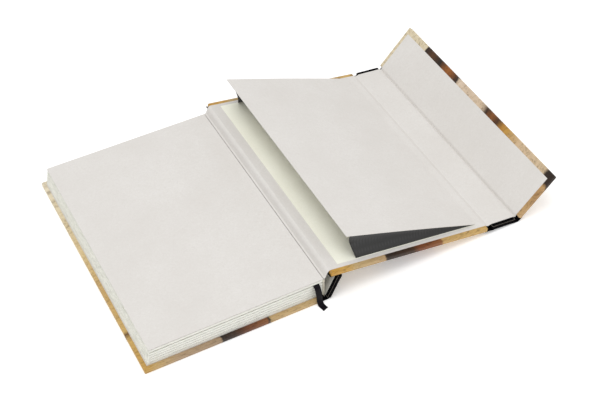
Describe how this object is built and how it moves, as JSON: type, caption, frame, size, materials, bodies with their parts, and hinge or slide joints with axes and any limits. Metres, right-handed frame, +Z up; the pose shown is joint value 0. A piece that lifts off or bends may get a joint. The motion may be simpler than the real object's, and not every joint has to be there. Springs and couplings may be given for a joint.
{
  "type": "photo album",
  "caption": "Open case-bound photo album with a sewn text block on its flat front cover, a back cover with a gusseted pocket, a fore-edge strip, a magnetic flap and a ribbon marker.",
  "frame": {"origin": "centre of the underside of the front cover, on the surface that the album lies on", "axes": "+X from the front cover's fore-edge across the spine to the flap, +Y from tail to head, +Z up"},
  "size_m": [0.3035, 0.1925, 0.0462],
  "materials": {
    "greyboard": "matt pressed board",
    "marbled_paper": null,
    "endpaper": "matt uncoated paper",
    "page_paper": "matt uncoated paper",
    "black_cloth": "fine book cloth",
    "grey_cloth": "fine book cloth",
    "white_card": "matt card",
    "cotton": "woven cotton",
    "satin_ribbon": "satin weave",
    "steel": "bright sheet steel",
    "nickel": "nickel plated magnet"
  },
  "bodies": {
    "front_cover": {"front_board": "greyboard", "front_cover_paper": "marbled_paper", "front_pastedown": "endpaper", "catch_discs": "steel"},
    "text_block": {"front_flyleaf": "endpaper", "section_1": "page_paper", "section_2": "page_paper", "section_3": "page_paper", "section_4": "page_paper", "section_5": "page_paper", "section_6": "page_paper", "sewing_thread": "cotton", "mull": "cotton", "spine_lining": "page_paper", "headband": "cotton", "tailband": "cotton", "front_joint_cloth": "black_cloth", "ribbon_marker": "satin_ribbon"},
    "last_leaf": {"last_leaf": "page_paper"},
    "back_flyleaf": {"back_flyleaf": "endpaper"},
    "spine": {"spine_board": "greyboard", "spine_cloth": "black_cloth", "spine_liner": "page_paper"},
    "back_cover": {"back_board": "greyboard", "back_cover_paper": "marbled_paper", "back_lining": "endpaper", "back_joint_cloth": "black_cloth", "pocket_base": "page_paper", "gusset_head": "grey_cloth", "gusset_tail": "grey_cloth"},
    "pocket_panel": {"pocket_panel": "white_card"},
    "fore_edge_strip": {"strip_board": "greyboard", "strip_cloth": "black_cloth", "strip_liner": "endpaper"},
    "flap": {"flap_board": "greyboard", "flap_paper": "marbled_paper", "flap_lining": "endpaper", "flap_magnets": "nickel"}
  },
  "joints": [
    {"name": "front_cover_opening", "type": "hinge", "parent": "front_cover", "child": "text_block", "pos_m": [0.0628, 0, 0.0016], "axis": [0, 1, 0], "range_deg": [0, 90]},
    {"name": "back_cover_closing", "type": "hinge", "parent": "text_block", "child": "back_cover", "pos_m": [0.0648, 0, 0.0222], "axis": [0, -1, 0], "range_deg": [0, 188.69]},
    {"name": "spine_rocking", "type": "hinge", "parent": "text_block", "child": "spine", "pos_m": [0.0663, 0, 0.0016], "axis": [0, -1, 0], "range_deg": [0, 24]},
    {"name": "flyleaf_turning", "type": "hinge", "parent": "text_block", "child": "back_flyleaf", "pos_m": [0.0642, 0, 0.0183], "axis": [0, -1, 0], "range_deg": [-108, 0]},
    {"name": "last_leaf_turning", "type": "hinge", "parent": "text_block", "child": "last_leaf", "pos_m": [0.0638, 0, 0.01804], "axis": [0, -1, 0], "range_deg": [-98, 0]},
    {"name": "pocket_closing", "type": "hinge", "parent": "back_cover", "child": "pocket_panel", "pos_m": [0.18293, 0, 0.00749], "axis": [0, -1, 0], "range_deg": [0, 12.2], "deforming": ["gusset_head", "gusset_tail"]},
    {"name": "fore_edge_folding", "type": "hinge", "parent": "back_cover", "child": "fore_edge_strip", "pos_m": [0.19149, 0, 0.00389], "axis": [0, -1, 0], "range_deg": [0, 86.73]},
    {"name": "flap_folding", "type": "hinge", "parent": "fore_edge_strip", "child": "flap", "pos_m": [0.21458, 0, 0.0017], "axis": [0, -1, 0], "range_deg": [-48, 36.58]}
  ],
  "couplings": [
    {"joint": "spine_rocking", "follows": "back_cover_closing", "ratio": 0.1272},
    {"joint": "pocket_closing", "follows": "back_cover_closing", "ratio": 0.064657},
    {"joint": "last_leaf_turning", "follows": "flyleaf_turning", "ratio": 0.9}
  ]
}
